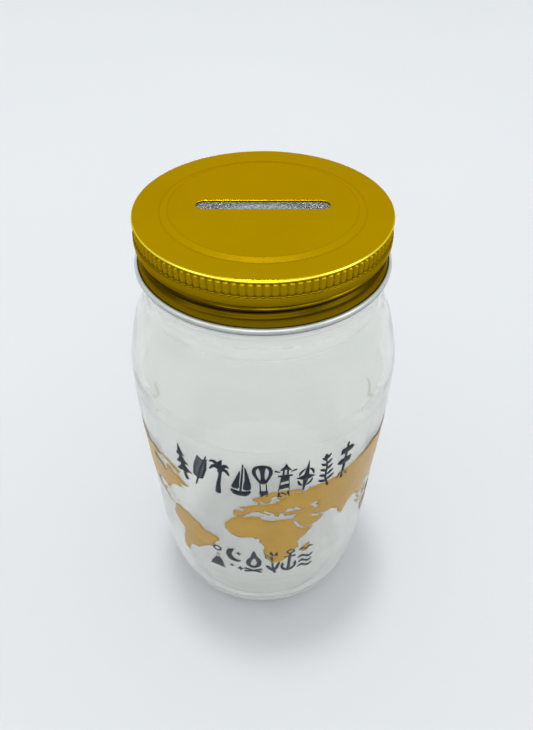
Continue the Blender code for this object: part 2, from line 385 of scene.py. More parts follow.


# Painted shade down the lid's side, darkest under the top edge, at the rib feet, in the groove and in
# the thread recess: depth below the top in millimetres, share
SKIRT_PAINTED_SHADE = (
    (0.70, 1.0),
    (0.85, 0.20),
    (1.20, 0.25),
    (1.55, 0.80),
    (4.00, 0.74),
    (4.60, 0.42),
    (5.10, 0.36),
    (5.50, 0.66),
    (6.80, 0.52),
    (7.55, 0.38),
    (7.90, 0.08),
    (8.30, 0.45),
    (8.80, 0.38),
    (9.10, 0.06),
    (10.20, 0.07),
    (12.00, 0.12),
    (12.60, 0.40),
    (13.90, 0.42),
    (14.45, 0.04),
)

# Painted light across the top: a painted highlight band on the slope round the raised panel, between
# two thin lines of painted shade: distance from the middle in millimetres, share
TOP_PAINTED_LIGHT = (
    (26.30, 1.0),
    (26.60, 0.86),
    (26.90, 1.08),
    (28.45, 1.08),
    (28.75, 0.84),
    (29.20, 1.0),
)


def toned(tree, source, tones, start=0.0, way=1):
    """A value looked up along the tones, straight between each two."""
    deepest = tones[-1][0]
    ramp = node(tree, "ShaderNodeValToRGB")
    stops = ramp.color_ramp.elements
    while len(stops) < len(tones):
        stops.new(1.0)
    for stop, (depth, share) in zip(stops, tones):
        stop.position = depth / deepest
        stop.color = (share, share, share, 1)
    along = ranged(tree, source, 0, 1, start * MM, (start + way * deepest) * MM)
    tree.links.new(along, ramp.inputs["Fac"])
    return ramp.outputs["Color"]


# The lacquer's colours: under full painted shade in the deepest hollows, on the open faces, and as a
# painted highlight on the top edge
GOLD_PAINTED_SHADE = (0.010, 0.005, 0.0003)
GOLD_OPEN = (0.425, 0.266, 0.0016)
GOLD_PAINTED_HIGHLIGHT = (0.80, 0.66, 0.05)
GOLD_TINT = (0.85, 0.66, 0.10, 1)


def gold_material():
    """Gold lacquer: its own colour on the top face, with painted shade down the skirt and in its
    hollows, and a painted highlight on the top edge.
    """
    made, tree, shader = material(
        "gold_lacquer", Metallic=1.0, Roughness=0.3, Specular_Tint=GOLD_TINT
    )
    cloud = textured(tree, 35, 4.0)
    fine = textured(tree, 900, 5.0)
    radius, height = distance_out(tree)

    def outwards(low, high, start, end):
        return ranged(tree, radius, low, high, start * MM, end * MM)

    def upwards(low, high, start, end):
        """From one depth below the lid's top up to another."""
        return ranged(tree, height, low, high, (LID_TOP - start) * MM, (LID_TOP - end) * MM)

    # Painted shade down the skirt, times painted highlight and shade round the raised panel
    lid_painted_light = toned(tree, height, SKIRT_PAINTED_SHADE, LID_TOP, -1)
    lid_painted_light = maths(tree, "MULTIPLY", lid_painted_light, toned(tree, radius, TOP_PAINTED_LIGHT))
    # Painted shade between the ribs. Above and below them the radius makes no difference
    crown = outwards(0.7, 1.0, SKIRT_RADIUS, SKIRT_RADIUS + 0.3)
    below = upwards(1, 0, RIB_FOOT + 0.05, RIB_FOOT)
    above = upwards(0, 1, RIB_TOP, RIB_TOP - 0.1)
    crown = maths(tree, "MAXIMUM", crown, maths(tree, "MAXIMUM", below, above))
    lid_painted_light = maths(tree, "MULTIPLY", lid_painted_light, crown)
    # Painted shade on the slot's turned-down lip
    lip = maths(tree, "MULTIPLY", outwards(1, 0, 20.0, 21.0), upwards(0.8, 0, -0.1, -0.3))
    lid_painted_light = maths(tree, "MULTIPLY", lid_painted_light, maths(tree, "SUBTRACT", 1.0, lip))
    shade = maths(tree, "MULTIPLY", lid_painted_light, ranged(tree, cloud, 0.93, 1.0))
    colour = mixed(tree, shade, GOLD_PAINTED_SHADE, GOLD_OPEN)
    # Painted highlight on the lid's rounded top edge, where the roughness is also lower
    edge = maths(
        tree,
        "MULTIPLY",
        outwards(0, 1, LID_RADIUS - 0.4, LID_RADIUS - 0.2),
        upwards(0, 1, 0.6, 0.45),
    )
    colour = mixed(tree, edge, colour, GOLD_PAINTED_HIGHLIGHT)
    tree.links.new(colour, shader.inputs["Base Color"])
    sharper = maths(tree, "MULTIPLY", edge, 0.08)
    rough = maths(tree, "SUBTRACT", ranged(tree, fine, 0.27, 0.31), sharper)
    tree.links.new(rough, shader.inputs["Roughness"])
    bumped(tree, shader, fine, 0.012, 0.00003)
    return made


def tin_material():
    made, tree, shader = material("pale_tin", Metallic=0.4, Roughness=0.35)
    cloud = textured(tree, 200, 4.0, (1, 1, 4))
    radius, height = distance_out(tree)
    # Painted shade darkening the underside of the rolled hem to near black, times a random mottle, and
    # a paler tone inside the lid than on the hem's outside
    low = ranged(tree, height, 0, 1, (LID_TOP - 16.4) * MM, (LID_TOP - 14.9) * MM)
    varied = maths(tree, "MULTIPLY", low, ranged(tree, cloud, 0.85, 1.0))
    varied = maths(tree, "MULTIPLY", varied, ranged(tree, radius, 1.0, 0.68, 36.0 * MM, 36.2 * MM))
    colour = mixed(tree, varied, (0.03, 0.04, 0.035), (0.78, 0.82, 0.80))
    tree.links.new(colour, shader.inputs["Base Color"])
    tree.links.new(ranged(tree, cloud, 0.28, 0.42), shader.inputs["Roughness"])
    return made


def seal_material():
    made, tree, shader = material("sealing_compound", Roughness=0.6)
    cloud = textured(tree, 300, 3.0)
    colour = mixed(tree, ranged(tree, cloud, 0, 1), (0.74, 0.74, 0.69), (0.80, 0.80, 0.76))
    tree.links.new(colour, shader.inputs["Base Color"])
    bumped(tree, shader, cloud, 0.1, 0.0001)
    return made


def film_material():
    made, tree, shader = material("clear_film", Base_Color=(0.86, 0.87, 0.85, 1), Roughness=0.2)
    cloud = textured(tree, 25, 3.0, (1, 1, 3))
    tree.links.new(ranged(tree, cloud, 0.07, 0.13), shader.inputs["Alpha"])
    tree.links.new(ranged(tree, cloud, 0.12, 0.3), shader.inputs["Roughness"])
    return made


def ink_material(name, dark, light, roughness, coat):
    made, tree, shader = material(name, Roughness=roughness)
    shader.inputs["Specular IOR Level"].default_value = 0.15
    shader.inputs["Coat Weight"].default_value = coat
    shader.inputs["Coat Roughness"].default_value = 0.25
    cloud = textured(tree, 140, 4.0)
    tree.links.new(
        mixed(tree, ranged(tree, cloud, 0, 1), dark, light), shader.inputs["Base Color"]
    )
    fine = textured(tree, 1500, 2.0)
    tree.links.new(
        ranged(tree, fine, roughness - 0.06, roughness + 0.06), shader.inputs["Roughness"]
    )
    return made


# ---------------------------------------------------------------- the jar


# The small unevenness of the moulded inside, in millimetres
WAVE_DEPTH = 0.06
WAVE_HEIGHT = 30
WAVE_SCALE = 1.3
WAVE_FLOOR_FADE = 20
WAVE_NECK_FADE = 15
FLOOR_REACH = 28.0


def jar_outside():
    """The turned outside below the thread as (radius, height), from the pushed-up base."""
    dome = spline(
        [
            (0.5, PUSH_UP),
            (0.35 * CONTACT_INNER, 0.97 * PUSH_UP),
            (0.65 * CONTACT_INNER, 0.8 * PUSH_UP),
            (0.88 * CONTACT_INNER, 0.4 * PUSH_UP),
            (CONTACT_INNER, 0.02),
            (BODY[0][1] * JAR_RADIUS - 0.6, 0.0),
        ],
        SPLINE_STEPS,
    )
    line = [(radius, max(0.0, height)) for radius, height in dome + OUTLINE]
    middle = NECK_BEAD_TOP - NECK_BEAD_HEIGHT / 2
    for k in range(HALF_ROUND_STEPS + 1):
        angle = math.pi * (k / HALF_ROUND_STEPS - 0.5)
        reach = NECK_RADIUS + NECK_BEAD_OUT * math.cos(angle)
        line.append((reach, middle + NECK_BEAD_HEIGHT / 2 * math.sin(angle)))
    return line


def thread_rows():
    rows = []
    foot = GLASS_THREAD_MIDDLE - TURNS * PITCH / 2 - GLASS_RIDGE_HALF
    top = 2 * GLASS_THREAD_MIDDLE - foot
    for k in range(THREAD_STEPS + 1):
        height = foot + (top - foot) * k / THREAD_STEPS

        def thread(angle, height=height):
            share = ridge(angle, height, GLASS_THREAD_MIDDLE, GLASS_RIDGE_HALF)
            return NECK_RADIUS + THREAD_DEPTH * share

        rows.append(ring(thread, height, JAR_COLUMNS))
    return rows


def rim_rows(bore):
    rows = []
    for k in range(HALF_ROUND_STEPS + 1):
        angle = math.pi * k / HALF_ROUND_STEPS
        outer = k <= HALF_ROUND_STEPS // 2
        edge = NECK_RADIUS - RIM_ROUND if outer else bore + RIM_ROUND
        reach = edge + RIM_ROUND * math.cos(angle)
        rows.append(ring(reach, RIM_TOP - RIM_ROUND * (1 - math.sin(angle)), JAR_COLUMNS))
    return rows


def jar_inside(bore):
    """The inside as (radius, height), from the bore down to the middle of the floor."""
    wall = [p for p in offset(OUTLINE, GLASS_WALL) if p[1] > FLOOR_THICK + FLOOR_CORNER]
    wall = [p for p in wall if p[1] < VALLEY_HEIGHT][::-1]
    line = [(bore, VALLEY_HEIGHT + 6), (bore, VALLEY_HEIGHT + 1.5)] + wall
    corner_radius, corner_height = line[-1]
    for k in range(1, CORNER_STEPS + 1):
        angle = math.pi / 2 * k / CORNER_STEPS
        reach = corner_radius - FLOOR_CORNER * (1 - math.cos(angle))
        line.append((reach, corner_height - (corner_height - FLOOR_THICK) * math.sin(angle)))
    line.append((0.8 * line[-1][0], FLOOR_THICK))
    return line + [(share * FLOOR_REACH, FLOOR_THICK) for share in (0.6, 0.4, 0.2, 0.05)]


def make_jar():
    bore = NECK_RADIUS - NECK_WALL
    rows = [[(0, 0, PUSH_UP)]]
    rows += [ring(radius, height, JAR_COLUMNS) for radius, height in jar_outside()]
    rows += thread_rows() + rim_rows(bore)
    for radius, height in jar_inside(bore):

        def wavy(angle, radius=radius, height=height):
            spot = Vector((math.cos(angle), math.sin(angle), height / WAVE_HEIGHT)) * WAVE_SCALE
            below_neck = min(1.0, max(0.0, (VALLEY_HEIGHT - height) / WAVE_NECK_FADE))
            fade = min(1.0, radius / WAVE_FLOOR_FADE) * below_neck
            return radius + WAVE_DEPTH * fade * noise(spot)

        rows.append(ring(wavy, height, JAR_COLUMNS))
    rows.append([(0, 0, FLOOR_THICK)])
    mesh = lattice("jar_body", rows, closed_rows=False)
    jar = place("jar_body", mesh, "jar", "jar_glass", glass_material())
    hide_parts("glass_jar")


# ---------------------------------------------------------------- the lid


def stadium(grow, columns):
    """The slot outline grown by an amount, as (x, y) points shared between ends and sides."""
    quarter_steps = columns // 11
    side_steps = columns // 2 - 2 * quarter_steps
    radius = SLOT_WIDTH / 2 + grow
    reach = (SLOT_LENGTH - SLOT_WIDTH) / 2
    quarter = []
    for k in range(quarter_steps + 1):
        angle = math.pi / 2 * k / quarter_steps
        quarter.append((reach + radius * math.cos(angle), radius * math.sin(angle)))
    side = [(reach - 2 * reach * k / side_steps, radius) for k in range(1, side_steps)]
    upper = quarter + side + [(-x, y) for x, y in quarter[::-1]]
    return upper + [(-x, -y) for x, y in upper[1:-1]]


# The lid's outside, in millimetres. A depth is how far below the top it is. These are finer
# than the CAD model's, so BEAD_FOOT, THREAD_STEP and LID_COLUMNS have other values there
RIBS = 112
LID_COLUMNS = RIBS * 8
LIP_REACH = 1.2
MOAT_OUT = 32.5
EDGE_ROUND = 0.7
EDGE_STEPS = 8
TUCK = 0.12
BAND_TOP = 1.4
BAND_STEP = 0.22
BAND_ROWS = 15
RIB_TOP = 1.3
RIB_FOOT = 4.95
RIB_DEPTH = 0.36
RIB_SHARE = 0.97
RIB_ARCH = 0.8
RIB_RISE = 0.35
BEAD = ((36.72, 5.12, 0.18), (36.78, 6.3, 0.5), (36.7, 7.5, 0.5))
BEAD_FOOT = 8.05
THREAD_DEPTHS = (7.6, 13.6)
THREAD_TOP = 8.3
THREAD_STEP = 0.2
THREAD_ROWS = 25
CREASE_DEPTH = 0.32
CREASE_HALF = 0.34
CREASE_ABOVE = 2.05
FLARE = ((36.15, 13.5, 0.3), (36.42, 14.35, 0.3), (36.36, 14.9, 0.2))
CURL_HALF = (0.45, 0.75)
CURL_START = 180
CURL_SWEEP = 290
CURL_STEPS = 24
MORPH_SHARES = (0.2, 0.4, 0.6, 0.8)


def rib(angle, depth):
    """How far a grip rib stands out at an angle and a depth below the top."""
    across = (angle * RIBS / (2 * math.pi)) % 1.0 - 0.5
    side = min(1.0, abs(2 * across) / RIB_SHARE)
    crown = math.cos(math.pi * side / 2) ** 0.75
    top = RIB_TOP + RIB_ARCH * side**3
    rise = min(1.0, max(0.0, (depth - top) / RIB_RISE))
    fall = min(1.0, max(0.0, (RIB_FOOT + 0.1 - depth) / 0.15))
    return RIB_DEPTH * crown * math.sin(rise * math.pi / 2) * fall


def groove(angle, depth):
    """How far the rolled thread and the crease beside it stand in, at an angle and a depth."""
    middle = LID_TOP - LID_THREAD_MIDDLE
    height = LID_TOP - depth
    wide = LID_RIDGE_DEPTH * ridge(angle, height, middle, LID_RIDGE_HALF)
    narrow = CREASE_DEPTH * ridge(angle, height - CREASE_ABOVE, middle, CREASE_HALF)
    return max(wide, narrow)


def skirt_point(line_point, angle):
    """The lid's radius at an angle, with its ribs and thread."""
    radius, depth = line_point
    if RIB_TOP - 0.08 < depth < RIB_FOOT + 0.2:
        return radius + rib(angle, depth)
    if THREAD_DEPTHS[0] < depth < THREAD_DEPTHS[1]:
        return radius - groove(angle, depth)
    return radius


def lid_face():
    """The lid's outside as (radius, depth), from the panel to the curl."""
    corners = [
        (PANEL_RADIUS - 2.5, -PANEL_RISE, 0),
        (PANEL_RADIUS + 0.7, -PANEL_RISE, 0.25),
        (MOAT_RADIUS - 0.1, 0.25 * MOAT_DEPTH, 0.2),
        (MOAT_RADIUS + 0.5, 0.0, 0.3),
        (MOAT_OUT, 0.0, 0.6),
    ]
    for k in range(EDGE_STEPS + 1):
        angle = math.pi / 2 * k / EDGE_STEPS
        reach = LID_RADIUS - EDGE_ROUND * (1 - math.sin(angle))
        corners.append((reach, EDGE_ROUND * (1 - math.cos(angle)), 0))
    corners += [
        (LID_RADIUS - TUCK, EDGE_ROUND + 0.1, 0),
        (SKIRT_RADIUS - TUCK, EDGE_ROUND + 0.2, 0),
        (SKIRT_RADIUS - TUCK, BAND_TOP - 0.2, 0),
    ]
    corners += [(SKIRT_RADIUS, BAND_TOP + BAND_STEP * k, 0) for k in range(BAND_ROWS + 1)]
    corners += [(SKIRT_RADIUS, RIB_FOOT, 0), *BEAD, (SKIRT_RADIUS, BEAD_FOOT, 0.3)]
    corners += [(SKIRT_RADIUS, THREAD_TOP + THREAD_STEP * k, 0) for k in range(THREAD_ROWS)]
    return rounded([*corners, *FLARE])


def lid_curl():
    """The rolled hem as (radius, depth)."""
    line = []
    for k in range(CURL_STEPS + 1):
        angle = math.radians(CURL_START + CURL_SWEEP * k / CURL_STEPS)
        reach = CURL_MIDDLE[0] + CURL_HALF[0] * math.cos(angle)
        line.append((reach, CURL_MIDDLE[1] - CURL_HALF[1] * math.sin(angle)))
    return line


def slot_row(grow, height):
    return [(x, y, height) for x, y in stadium(grow, LID_COLUMNS)]


def morph(first, second, share):
    """A row part of the way from one row to another."""
    return [tuple(a + (b - a) * share for a, b in zip(p, q)) for p, q in zip(first, second)]


def skirt_row(point, shift=None):
    """A row of the lid's outside, or of its inside when it is shifted to a radius and height."""
    radius, height = shift or (point[0], LID_TOP - point[1])
    extra = radius - point[0]
    return ring(lambda angle: skirt_point(point, angle) + extra, height, LID_COLUMNS)


def make_lid():
    lip = rounded(
        [
            (0.0, SLOT_LIP - PANEL_RISE, 0),
            (0.0, -PANEL_RISE, 0.5),
            (LIP_REACH, -PANEL_RISE, 0),
        ]
    )
    curl = lid_curl()
    face = lid_face() + curl
    under_lip = offset([(a, -b) for a, b in lip], -SHEET)
    under = offset([(a, -b) for a, b in face], -SHEET)
    top = [slot_row(a, LID_TOP - b) for a, b in lip]
    panel_edge = skirt_row(face[0])
    top += [morph(top[-1], panel_edge, share) for share in MORPH_SHARES]
    top += [skirt_row(point) for point in face]
    bottom = [slot_row(a, LID_TOP + b) for a, b in under_lip]
    under_edge = skirt_row(face[0], (under[0][0], LID_TOP + under[0][1]))
    bottom += [morph(bottom[-1], under_edge, share) for share in MORPH_SHARES]
    bottom += [skirt_row(point, (r, LID_TOP + z)) for point, (r, z) in zip(face, under)]
    rows = top + bottom[::-1]
    mesh = lattice("lid_cap", rows, closed_rows=True)
    mesh.flip_normals()
    lid = place("lid_cap", mesh, "lid", "gold_tinplate", gold_material(), tin_material())
    pale_from = (len(top) - 1 - len(curl)) * LID_COLUMNS
    for polygon in mesh.polygons:
        polygon.material_index = int(polygon.index >= pale_from)
    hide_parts("lid_shell")


SEAL_OUT = 0.6
SEAL_IN = 0.9
SEAL_ROUND = 0.3


def make_seal():
    outer = NECK_RADIUS + SEAL_OUT
    inner = NECK_RADIUS - NECK_WALL - SEAL_IN
    foot = SEAL_TOP - SEAL_THICK
    outline = rounded(
        [
            ((inner + outer) / 2, foot, 0),
            (outer, foot, SEAL_ROUND),
            (outer, SEAL_TOP, SEAL_ROUND),
            (inner, SEAL_TOP, SEAL_ROUND),
            (inner, foot, SEAL_ROUND),
            ((inner + outer) / 2, foot, 0),
        ]
    )[:-1]
    mesh = lattice("sealing_ring", [ring(r, z, JAR_COLUMNS) for r, z in outline], closed_rows=True)
    seal = place("sealing_ring", mesh, "seal", "seal_compound", seal_material())
    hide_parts("lid_sealing_ring")


# ---------------------------------------------------------------- the wrap


def on_wrap(across, height, lift):
    """A point on the jar's outside: across in degrees from the front, height in millimetres."""
    reach = radius_at(height) + lift
    angle = math.radians(across)
    return (reach * math.sin(angle), -reach * math.cos(angle), height)


WRAP_REACH = 179.75  # degrees each way from the front, which leaves a seam at the back


def make_film():
    rows = []
    levels = [FILM_FOOT + (FILM_TOP - FILM_FOOT) * k / FILM_STEPS for k in range(FILM_STEPS + 1)]
    loop = [(z, FILM_LIFT) for z in levels] + [(z, FILM_LIFT + FILM_THICK) for z in levels[::-1]]
    for height, lift in loop:
        row = []
        for k in range(FILM_COLUMNS + 1):
            across = -WRAP_REACH + 2 * WRAP_REACH * k / FILM_COLUMNS
            row.append(on_wrap(across, height, lift))
        rows.append(row)
    mesh = lattice("wrap_film", rows, closed_rows=True, closed_columns=False)
    across = FILM_COLUMNS + 1
    ends = []
    count = len(rows)
    for k in range(len(levels) - 1):
        far = count - 1 - k
        first = [row * across for row in (k, k + 1, far - 1, far)]
        ends.append(tuple(first))
        ends.append(tuple(number + FILM_COLUMNS for number in first[::-1]))
    vertices = [vertex.co[:] for vertex in mesh.vertices]
    faces = [tuple(polygon.vertices) for polygon in mesh.polygons] + ends
    mesh.clear_geometry()
    mesh.from_pydata(vertices, [], faces)
    film = place("wrap_film", mesh, "jar", "clear_film", film_material())
    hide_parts("wrap_label")


# ---------------------------------------------------------------- the print

PRINT_RADIUS = 40.5
MAP_EQUATOR = 59.3
MAP_DEGREE = 0.42
MAP_TURN = 0.611
MAP_CENTRE = 12.2
AMERICAS_SHIFT = 12.0
COAST_STEP = 0.8
COAST_WANDER = 0.11
MAP_SEED = 11
INK_STEP = 1.7

EURASIA = (
    (-9, 37), (-9.5, 39), (-8.8, 43.3), (-2, 43.5), (-1.2, 46), (-4.7, 48.3), (-1.5, 49.7),
    (2, 51), (4.5, 52.5), (8.5, 53.8), (8.2, 57), (10.6, 57.7), (10.5, 54.5), (14, 54),
    (18.5, 54.7), (21, 55.5), (21.5, 57.5), (24.3, 57.3), (23.5, 59.3), (29, 60), (22.5, 60),
    (21.2, 61.5), (25.3, 65), (22, 65.8), (17.3, 61), (18.5, 59.5), (16.5, 57), (14.2, 55.4),
    (12.7, 56), (11, 59), (7, 58), (5, 60), (5.2, 62), (10, 64), (14, 67.5), (19, 70),
    (25.5, 71.1), (31, 70.3), (41, 67.5), (40.5, 66.3), (33.5, 66.7), (37, 64), (40.5, 64.7),
    (44, 66), (44, 68.3), (54, 68.5), (60, 69), (68, 68.5), (67, 71.5), (72.5, 72.8), (73, 68),
    (75, 72.5), (81, 73.5), (87, 75), (104, 77.7), (113, 74), (127, 73.3), (131, 71),
    (140, 72.7), (152, 71), (161, 69.5), (170, 69.5), (180, 69), (190, 66), (180, 64.5),
    (178, 62.5), (170, 60), (163, 58.5), (162, 55), (157, 51), (156, 57), (163, 61.5),
    (155, 59.3), (142, 59), (135.5, 54.5), (141, 52), (139.5, 48), (135, 44), (130.5, 42.5),
    (127.5, 39.7), (129.3, 37), (129, 35.2), (126.4, 34.5), (126.5, 37.5), (124.7, 38),
    (125, 40), (121.5, 39), (121, 41), (118, 39), (119, 37.3), (122.5, 37), (119.5, 35),
    (122, 31.5), (121.5, 28.5), (118, 24.5), (114, 22.3), (110.3, 21), (108, 21.5), (106, 19),
    (109, 14), (109, 11.5), (105, 8.7), (105, 10.5), (100.5, 13.3), (99.3, 10), (103.4, 4),
    (104, 1.4), (101, 3), (98.3, 8), (98.7, 14), (97, 17), (94.3, 16), (94, 19), (91.5, 22.7),
    (89, 21.7), (86.5, 20.5), (82, 16.5), (80.2, 13.5), (79.8, 10.3), (77.5, 8), (75, 12),
    (73, 17), (72.7, 21), (70, 20.9), (69, 22.5), (66.7, 25), (61, 25.2), (57, 26.5), (56, 27),
    (51.5, 27.8), (50, 30), (48, 30), (48.5, 28), (51, 24.5), (54, 24), (56.3, 26), (57, 24),
    (59.8, 22.5), (57.5, 19), (55, 17), (52, 15.5), (45, 12.8), (43.3, 12.7), (42.5, 16.5),
    (39, 21), (35, 28), (34.3, 27.8), (33, 29.9), (33, 31.2), (34.5, 31.5), (36, 35),
    (36, 36.7), (30.5, 36.5), (27.5, 37), (26.5, 39.5), (29, 41), (31, 41.2), (35, 42),
    (41.5, 41.3), (38, 44.5), (37, 45.5), (39, 47), (35, 46.2), (33.5, 44.7), (32.5, 46),
    (30.5, 46), (28.5, 43.8), (28, 42), (28.6, 41.4), (26.5, 40.8), (23.5, 40.5), (24, 38),
    (22.5, 36.6), (20, 39.5), (19.4, 41.8), (15.5, 44), (13.6, 45.5), (12.3, 44.5), (14, 42.3),
    (18.4, 40), (16.9, 40.4), (16.2, 38), (15.6, 40), (12.3, 41.8), (10.3, 43.5), (8.5, 44.3),
    (3.5, 43.3), (3.1, 41.8), (0, 39.5), (-0.5, 37.8), (-2, 36.8), (-5.6, 36),
)
CASPIAN = (
    (47, 45), (51, 47), (53, 45), (51, 43), (53, 40), (53.5, 37), (50, 37.5), (49.5, 40.3),
    (47.5, 43),
)
AFRICA = (
    (-5.9, 35.8), (-9.8, 31.5), (-13, 27.5), (-17, 21), (-16.5, 16), (-17.4, 14.7), (-15, 11),
    (-13, 8.5), (-7.7, 4.4), (-2, 4.9), (4, 6.4), (6, 4.3), (9.5, 4), (9.5, 1), (9, -1),
    (12, -5), (13.5, -9), (12, -15), (14.5, -22.5), (15.3, -27), (18.3, -33), (20, -34.8),
    (25.6, -34), (31, -29.5), (32.8, -26), (35.5, -24), (34.8, -20), (40.5, -15),
    (40.3, -10.5), (39, -6), (41.5, -1.7), (46, 2.5), (51.3, 11.8), (44, 10.7), (43, 12),
    (39.5, 15.5), (37.3, 19), (35.5, 24), (32.7, 29.8), (32.5, 31.2), (29, 31), (25, 31.7),
    (20, 31), (19.5, 30.3), (15.5, 31.6), (11, 33.5), (10.3, 37), (3, 37), (-2, 35),
)
MADAGASCAR = ((49.3, -12), (50.4, -15.5), (47, -25), (44, -24.5), (43.3, -22), (44.3, -16))
NORTH_AMERICA = (
    (-168, 65.7), (-162, 66.5), (-166, 68.5), (-156.5, 71.3), (-141, 69.7), (-128, 70.3),
    (-115, 68.5), (-108, 68), (-96, 68), (-94, 72), (-82, 69), (-86, 66), (-93, 62),
    (-94, 58.7), (-88, 56.5), (-82, 55), (-80, 51.3), (-79, 54.5), (-77, 57), (-78, 62),
    (-73, 62), (-69.5, 59), (-65, 60), (-61.5, 56), (-56, 52.5), (-60, 50.2), (-66, 50),
    (-65, 48), (-61, 46), (-66, 43.7), (-70, 43.5), (-70, 41.7), (-74, 40.5), (-76, 37),
    (-75.7, 35.3), (-81, 31.5), (-80, 26.8), (-80.5, 25.2), (-82.5, 28), (-84, 30),
    (-89.5, 30), (-94, 29.5), (-97.3, 27), (-97.5, 22), (-95.5, 18.7), (-91, 18.8), (-90, 21),
    (-87, 21.3), (-88, 16), (-83.3, 15), (-83.5, 10.5), (-79.5, 9.5), (-77.3, 8.2), (-82.5, 8),
    (-85.7, 10), (-87.5, 13), (-92.5, 14.7), (-96, 15.8), (-101.5, 17.5), (-105.5, 20.3),
    (-109.5, 25.5), (-112.5, 30), (-114.7, 31.5), (-112, 27), (-109.7, 23), (-115, 29.5),
    (-117.3, 32.7), (-120.6, 34.5), (-124, 40), (-124, 46), (-123, 49), (-128, 51),
    (-132, 56), (-138, 59), (-147, 60.8), (-153, 58.5), (-164, 54.6), (-158, 58),
    (-162, 59.5), (-165.5, 62), (-161, 64.3),
)
SOUTH_AMERICA = (
    (-77.3, 8.2), (-75.5, 10.7), (-71.8, 12.3), (-67, 10.7), (-62, 10.7), (-57.5, 6),
    (-51.5, 4.3), (-50, 0), (-44.5, -2.7), (-38.5, -3.7), (-35, -6.5), (-35, -9),
    (-38.8, -13.5), (-39.2, -18), (-41.8, -22.5), (-46.5, -24.5), (-48.7, -28), (-53, -33),
    (-57.5, -38), (-62, -39), (-65, -41.5), (-67.5, -46), (-68.5, -52.5), (-66, -55),
    (-71, -54), (-75, -50), (-73.5, -42), (-73.3, -37), (-71.5, -30), (-70.3, -20),
    (-76, -14), (-81.2, -6), (-80, -2.5), (-78.8, 1.5), (-77.3, 4),
)
ARCTIC_ISLANDS = (
    ((-85, 73), (-80, 73.5), (-68, 70), (-62, 66.5), (-65, 63), (-72, 65), (-73, 68), (-80, 70)),
    ((-117, 73), (-110, 73), (-102, 72.5), (-105, 69), (-115, 69.5)),
    ((-84, 21.8), (-79, 22.5), (-74.3, 20.2), (-77.5, 20), (-80, 21.6)),
    ((-72.5, 19.8), (-68.5, 18.6), (-73.5, 18.2)),
)
EASTERN_ISLANDS = (
    ((131, -1), (141, -2.6), (147.5, -6), (150.5, -10.5), (141, -9), (137.5, -7.5), (133, -4)),
    ((109, 1.5), (117, 7), (119, 5), (117.5, 0), (115.5, -4), (110.5, -3)),
    ((95.5, 5.5), (104, -2), (106, -5.8), (104, -5.5), (98.5, 0)),
    ((105.5, -6.5), (114.3, -7.5), (114, -8.5), (106.5, -7.5)),
    ((120, 18), (122, 18), (122, 14), (126, 7), (122, 7), (120, 14)),
    (
        (130, 31.5), (136, 33.7), (140.5, 35.5), (142, 39.5), (145, 43.5), (141.5, 45.3),
        (140, 41), (136.5, 37), (132, 35),
    ),
    (
        (172.7, -34.5), (178.5, -37.7), (175, -41.5), (171, -44.5), (168.5, -46.5),
        (166.5, -46), (172.5, -40.5),
    ),
    (
        (114, -22), (122, -18), (126, -14), (130.5, -12), (136.5, -12), (136, -15),
        (140, -17.5), (142.5, -10.8), (146, -19), (153, -25.5), (153.5, -29), (150, -37),
        (144, -38.5), (138, -34), (131.5, -31.5), (124, -33), (118, -35), (115, -34),
        (113.5, -26),
    ),
)


def on_map(outline, shift=0.0):
    """Longitudes and latitudes as places on the unrolled wrap: across from the front, height."""
    across = math.radians(MAP_TURN) * PRINT_RADIUS
    return [
        ((east + shift - MAP_CENTRE) * across, MAP_EQUATOR + north * MAP_DEGREE)
        for east, north in outline
    ]


def coast(outline, draw):
    """The outline with its long edges split again and again and wandered about."""
    split = True
    while split:
        split = False
        finer = []
        for here, there in zip(outline, outline[1:] + outline[:1]):
            finer.append(here)
            length = math.dist(here, there)
            if length > COAST_STEP:
                split = True
                away = draw.uniform(-COAST_WANDER, COAST_WANDER)
                middle_x = (here[0] + there[0]) / 2 - (there[1] - here[1]) * away
                middle_y = (here[1] + there[1]) / 2 + (there[0] - here[0]) * away
                finer.append((middle_x, middle_y))
        outline = finer
    return outline


def inside(x, y, outline):
    """Whether a place lies within an outline, by counting the sides to its right."""
    odd = False
    x1, y1 = outline[-1]
    for x2, y2 in outline:
        if (y1 > y) != (y2 > y) and x < x1 + (x2 - x1) * (y - y1) / (y2 - y1):
            odd = not odd
        x1, y1 = x2, y2
    return odd


def reach_of(outline):
    across = [x for x, _ in outline]
    up = [y for _, y in outline]
    return min(across), max(across), min(up), max(up)


def inked(x, y, shapes, holes):
    """Whether a place is within a shape and in none of the holes."""
    for outlines, answer in ((holes, False), (shapes, True)):
        for (low_x, high_x, low_y, high_y), outline in outlines:
            if low_x < x < high_x and low_y < y < high_y and inside(x, y, outline):
                return answer
    return False


